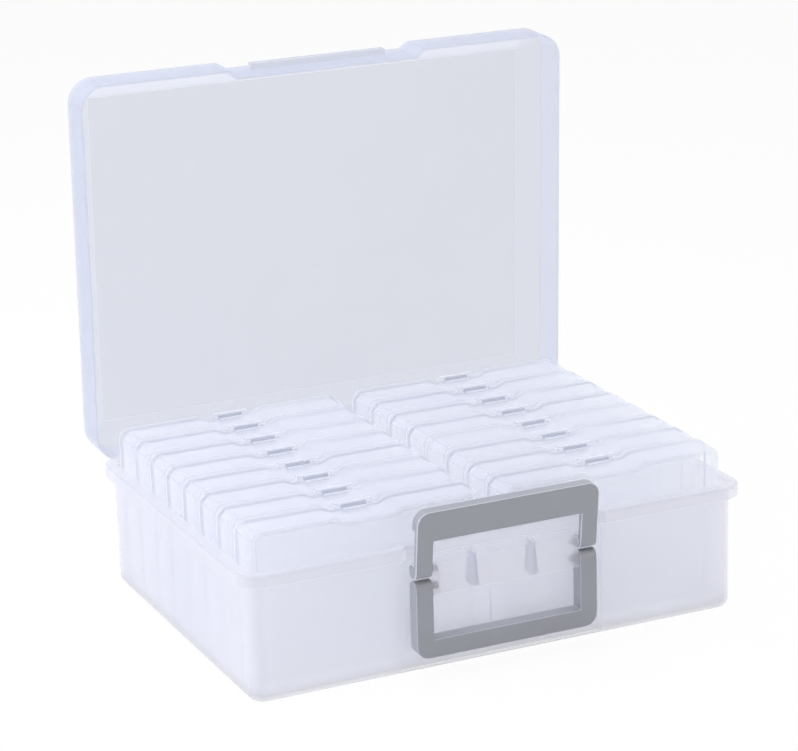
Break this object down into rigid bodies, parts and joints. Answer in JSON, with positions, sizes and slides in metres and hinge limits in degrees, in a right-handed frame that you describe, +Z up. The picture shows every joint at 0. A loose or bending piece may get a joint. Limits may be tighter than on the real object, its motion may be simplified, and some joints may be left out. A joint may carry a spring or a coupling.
{
  "type": "compartment storage box",
  "caption": "Clear plastic storage box with a hinged lid, a front latch and carry handle, and clamshell inner cases that stand in rows and lift out.",
  "frame": {"origin": "centre of the tub's flat underside", "axes": "+Z up, -Y towards the front with the handle, +X to the right of a viewer who faces the front"},
  "size_m": [0.375, 0.3248, 0.3658],
  "materials": {
    "clear_plastic": "slightly frosted clear moulded polypropylene, smooth outside, faint blue tint in thick edges",
    "case_plastic": "frosted clear moulded polypropylene with a fine satin skin",
    "grey_plastic": "opaque light grey moulded plastic with a satin surface"
  },
  "bodies": {
    "tub": {"storage_tub": "clear_plastic", "hinge_block": "clear_plastic"},
    "lid": {"outer_lid": "clear_plastic"},
    "latch": {"latch_handle": "grey_plastic"},
    "carry": {"carry_handle": "grey_plastic"},
    "case_01": {"case_01_tray": "case_plastic", "case_01_cover": "case_plastic"},
    "case_02": {"case_02_tray": "case_plastic", "case_02_cover": "case_plastic"},
    "case_03": {"case_03_tray": "case_plastic", "case_03_cover": "case_plastic"},
    "case_04": {"case_04_tray": "case_plastic", "case_04_cover": "case_plastic"},
    "case_05": {"case_05_tray": "case_plastic", "case_05_cover": "case_plastic"},
    "case_06": {"case_06_tray": "case_plastic", "case_06_cover": "case_plastic"},
    "case_07": {"case_07_tray": "case_plastic", "case_07_cover": "case_plastic"},
    "case_08": {"case_08_tray": "case_plastic", "case_08_cover": "case_plastic"},
    "case_09": {"case_09_tray": "case_plastic", "case_09_cover": "case_plastic"},
    "case_10": {"case_10_tray": "case_plastic", "case_10_cover": "case_plastic"},
    "case_11": {"case_11_tray": "case_plastic", "case_11_cover": "case_plastic"},
    "case_12": {"case_12_tray": "case_plastic", "case_12_cover": "case_plastic"},
    "case_13": {"case_13_tray": "case_plastic", "case_13_cover": "case_plastic"},
    "case_14": {"case_14_tray": "case_plastic", "case_14_cover": "case_plastic"},
    "case_15": {"case_15_tray": "case_plastic", "case_15_cover": "case_plastic"},
    "case_16": {"case_16_tray": "case_plastic", "case_16_cover": "case_plastic"}
  },
  "joints": [
    {"name": "lid_hinge", "type": "hinge", "parent": "tub", "child": "lid", "pos_m": [0, 0.1368, 0.0896], "axis": [-1, 0, 0], "range_deg": [-88, 0]},
    {"name": "latch_swing", "type": "hinge", "parent": "tub", "child": "latch", "pos_m": [0, -0.1363, 0.074], "axis": [1, 0, 0], "range_deg": [-7, 83]},
    {"name": "carry_swing", "type": "hinge", "parent": "tub", "child": "carry", "pos_m": [0, -0.1363, 0.062], "axis": [-1, 0, 0], "range_deg": [0, 90]},
    {"name": "case_01_lift", "type": "slide", "parent": "tub", "child": "case_01", "axis": [0, 0, 1], "range_m": [0, 0.125]},
    {"name": "case_02_lift", "type": "slide", "parent": "tub", "child": "case_02", "axis": [0, 0, 1], "range_m": [0, 0.125]},
    {"name": "case_03_lift", "type": "slide", "parent": "tub", "child": "case_03", "axis": [0, 0, 1], "range_m": [0, 0.125]},
    {"name": "case_04_lift", "type": "slide", "parent": "tub", "child": "case_04", "axis": [0, 0, 1], "range_m": [0, 0.125]},
    {"name": "case_05_lift", "type": "slide", "parent": "tub", "child": "case_05", "axis": [0, 0, 1], "range_m": [0, 0.125]},
    {"name": "case_06_lift", "type": "slide", "parent": "tub", "child": "case_06", "axis": [0, 0, 1], "range_m": [0, 0.125]},
    {"name": "case_07_lift", "type": "slide", "parent": "tub", "child": "case_07", "axis": [0, 0, 1], "range_m": [0, 0.125]},
    {"name": "case_08_lift", "type": "slide", "parent": "tub", "child": "case_08", "axis": [0, 0, 1], "range_m": [0, 0.125]},
    {"name": "case_09_lift", "type": "slide", "parent": "tub", "child": "case_09", "axis": [0, 0, 1], "range_m": [0, 0.125]},
    {"name": "case_10_lift", "type": "slide", "parent": "tub", "child": "case_10", "axis": [0, 0, 1], "range_m": [0, 0.125]},
    {"name": "case_11_lift", "type": "slide", "parent": "tub", "child": "case_11", "axis": [0, 0, 1], "range_m": [0, 0.125]},
    {"name": "case_12_lift", "type": "slide", "parent": "tub", "child": "case_12", "axis": [0, 0, 1], "range_m": [0, 0.125]},
    {"name": "case_13_lift", "type": "slide", "parent": "tub", "child": "case_13", "axis": [0, 0, 1], "range_m": [0, 0.125]},
    {"name": "case_14_lift", "type": "slide", "parent": "tub", "child": "case_14", "axis": [0, 0, 1], "range_m": [0, 0.125]},
    {"name": "case_15_lift", "type": "slide", "parent": "tub", "child": "case_15", "axis": [0, 0, 1], "range_m": [0, 0.125]},
    {"name": "case_16_lift", "type": "slide", "parent": "tub", "child": "case_16", "axis": [0, 0, 1], "range_m": [0, 0.125]}
  ]
}
